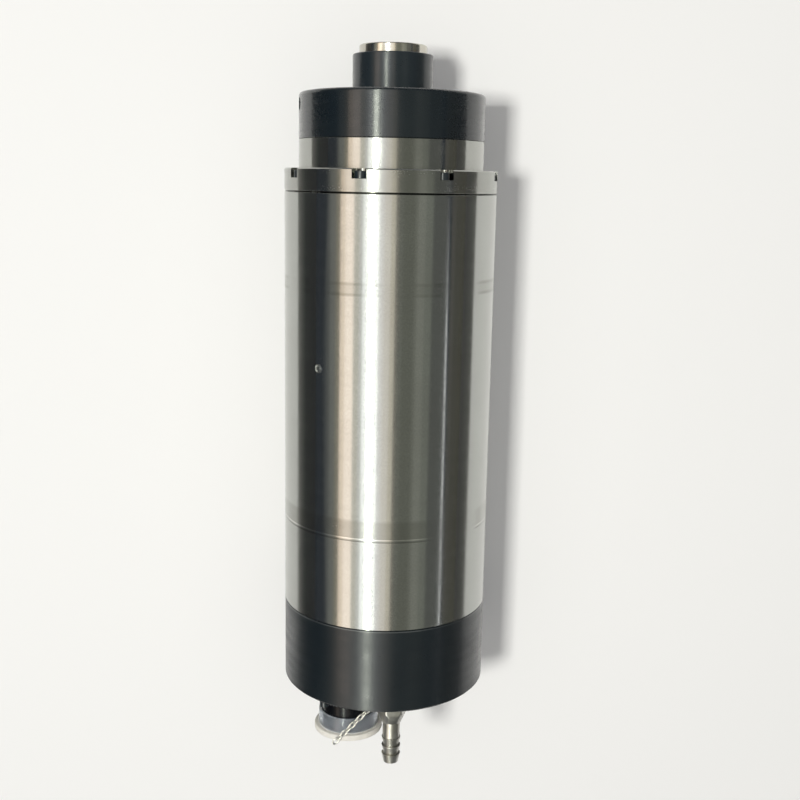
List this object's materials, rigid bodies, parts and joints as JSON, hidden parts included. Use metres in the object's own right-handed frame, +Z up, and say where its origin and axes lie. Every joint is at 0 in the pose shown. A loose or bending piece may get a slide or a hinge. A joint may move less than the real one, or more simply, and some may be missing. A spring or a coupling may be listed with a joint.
{
  "type": "motor spindle",
  "caption": "Cylindrical water cooled motor spindle with a collet nose, bolted bearing flange, black rear cover, hose barbs and a capped round power connector.",
  "frame": {"origin": "on the spindle axis at the middle of the housing tube, the length that a clamp holds", "axes": "+Y along the spindle axis toward the nose, +Z up with the spindle lying down, +X to the right seen from behind"},
  "size_m": [0.12, 0.4037, 0.12],
  "materials": {
    "turned_stainless": "fine turned stainless steel",
    "black_anodised": "satin black anodised aluminium",
    "black_oxide": "black oxidised steel",
    "polished_steel": "polished hardened steel",
    "ground_steel": "ground steel",
    "spring_steel": "spring steel",
    "cage_resin": "fabric reinforced resin",
    "lamination_steel": "stacked electrical steel",
    "copper_winding": "varnished copper winding",
    "cast_aluminium": "cast aluminium",
    "milled_aluminium": "milled aluminium",
    "balance_brass": "turned brass",
    "seal_rubber": "nitrile rubber",
    "nickel_plate": "nickel plated brass",
    "copper_washer": "soft copper",
    "connector_black": "gloss black coated aluminium",
    "connector_insulator": "black moulded insulator",
    "contact_metal": "plated brass contacts",
    "zinc_screw": "zinc plated steel",
    "milky_plastic": "translucent milky polyethylene",
    "chain_steel": "nickel plated steel wire",
    "lead_insulation": "silicone insulated leads"
  },
  "bodies": {
    "housing": {"chain_eyelet": "chain_steel", "connector_insert": "connector_insulator", "connector_pins": "contact_metal", "connector_screws": "zinc_screw", "connector_shell": "connector_black", "fitting_seals": "copper_washer", "flange_screws": "black_oxide", "front_bearing_housing": "turned_stainless", "front_bearing_outer_rings": "ground_steel", "front_cap": "black_anodised", "front_cap_screws": "black_oxide", "front_outer_spacer": "ground_steel", "housing_tube": "turned_stainless", "jacket_seals": "seal_rubber", "jacket_set_screw": "zinc_screw", "motor_leads": "lead_insulation", "passage_seals": "seal_rubber", "preload_spring": "spring_steel", "rear_bearing_housing": "ground_steel", "rear_bearing_outer_rings": "ground_steel", "rear_bearing_screws": "black_oxide", "rear_cover": "black_anodised", "rear_cover_screws": "black_oxide", "stator_core": "lamination_steel", "stator_winding": "copper_winding", "water_inlet_fitting": "nickel_plate", "water_jacket": "milled_aluminium", "water_outlet_fitting": "nickel_plate"},
    "rotor": {"shaft": "ground_steel", "rotor_core": "lamination_steel", "rotor_cage": "cast_aluminium", "balance_rings": "balance_brass", "front_bearing_inner_rings": "ground_steel", "front_inner_spacer": "ground_steel", "rear_bearing_inner_rings": "ground_steel", "front_locknut": "ground_steel", "rear_locknut": "ground_steel"},
    "front_cages": {"front_bearing_balls": "polished_steel", "front_bearing_cages": "cage_resin"},
    "rear_cages": {"rear_bearing_balls": "polished_steel", "rear_bearing_cages": "cage_resin"},
    "collet_set": {"collet": "ground_steel", "nut_ring": "polished_steel", "nut_balls": "polished_steel"},
    "nut": {"collet_nut": "black_oxide"},
    "dust_cap": {"dust_cap": "milky_plastic"},
    "chain": {"cap_chain": "chain_steel"}
  },
  "joints": [
    {"name": "spindle_spin", "type": "hinge", "parent": "housing", "child": "rotor", "pos_m": [0, 0, 0], "axis": [0, 1, 0], "continuous": true},
    {"name": "front_cage_spin", "type": "hinge", "parent": "housing", "child": "front_cages", "pos_m": [0, 0.127, 0], "axis": [0, 1, 0], "continuous": true},
    {"name": "rear_cage_spin", "type": "hinge", "parent": "housing", "child": "rear_cages", "pos_m": [0, -0.1046, 0], "axis": [0, 1, 0], "continuous": true},
    {"name": "collet_release", "type": "slide", "parent": "rotor", "child": "collet_set", "axis": [0, 1, 0], "range_m": [0, 0.0061]},
    {"name": "nut_turn", "type": "hinge", "parent": "collet_set", "child": "nut", "pos_m": [0, 0.184, 0], "axis": [0, 1, 0], "range_deg": [0, 1440]},
    {"name": "dust_cap_pull", "type": "slide", "parent": "housing", "child": "dust_cap", "axis": [0, -1, 0], "range_m": [0, 0.03]},
    {"name": "chain_lift", "type": "hinge", "parent": "housing", "child": "chain", "pos_m": [-0.00919, -0.17531, 0.04619], "axis": [-0.6528, 0.7373, 0.1736], "range_deg": [0, 60]}
  ],
  "couplings": [
    {"joint": "front_cage_spin", "follows": "spindle_spin", "ratio": 0.4265},
    {"joint": "rear_cage_spin", "follows": "spindle_spin", "ratio": 0.416},
    {"joint": "collet_release", "follows": "nut_turn", "m_per_rad": 0.0002387}
  ]
}
